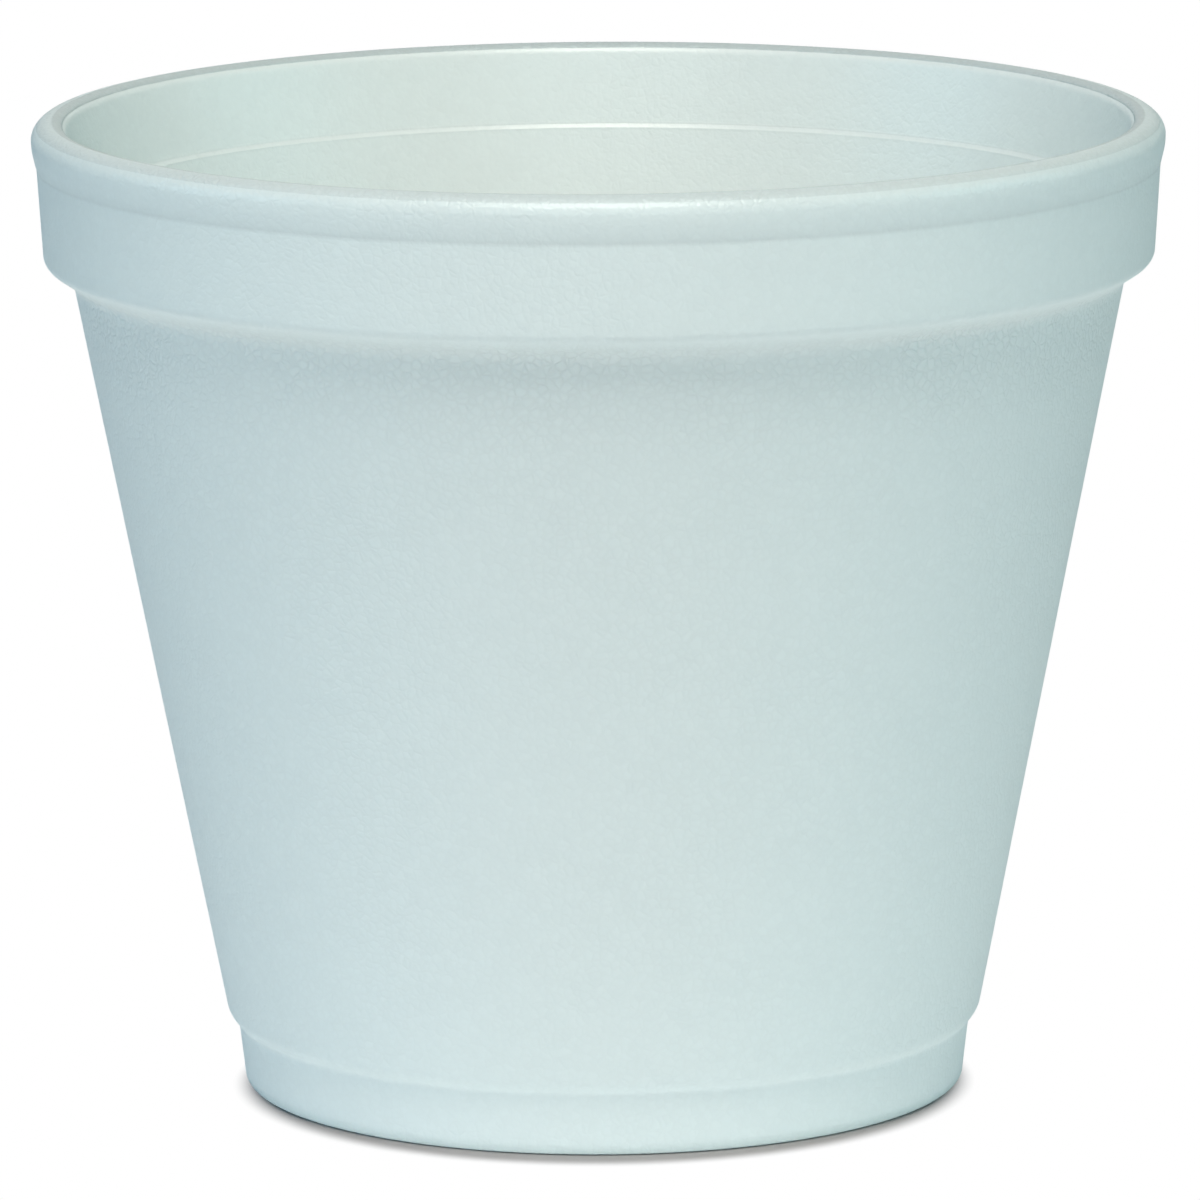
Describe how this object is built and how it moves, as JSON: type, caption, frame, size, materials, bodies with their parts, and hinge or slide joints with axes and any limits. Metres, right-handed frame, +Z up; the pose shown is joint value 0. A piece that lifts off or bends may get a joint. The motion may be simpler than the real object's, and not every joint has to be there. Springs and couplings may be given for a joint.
{
  "type": "foam food container",
  "caption": "Squat tapered foam cup for hot or cold food, empty and open at the top, with a rounded lip over a thicker collar and a narrower stacking foot.",
  "frame": {"origin": "middle of the ring on which the foot stands, at the bottom of the cup", "axes": "+Z up along the axis of the cup, towards its open mouth; the cup is the same all round, so +X and +Y have no meaning of their own"},
  "size_m": [0.089, 0.089, 0.077],
  "materials": {
    "foam": "white bead foam, fused cells just visible, soft sheen"
  },
  "bodies": {
    "root": {"container": "foam"}
  },
  "joints": []
}
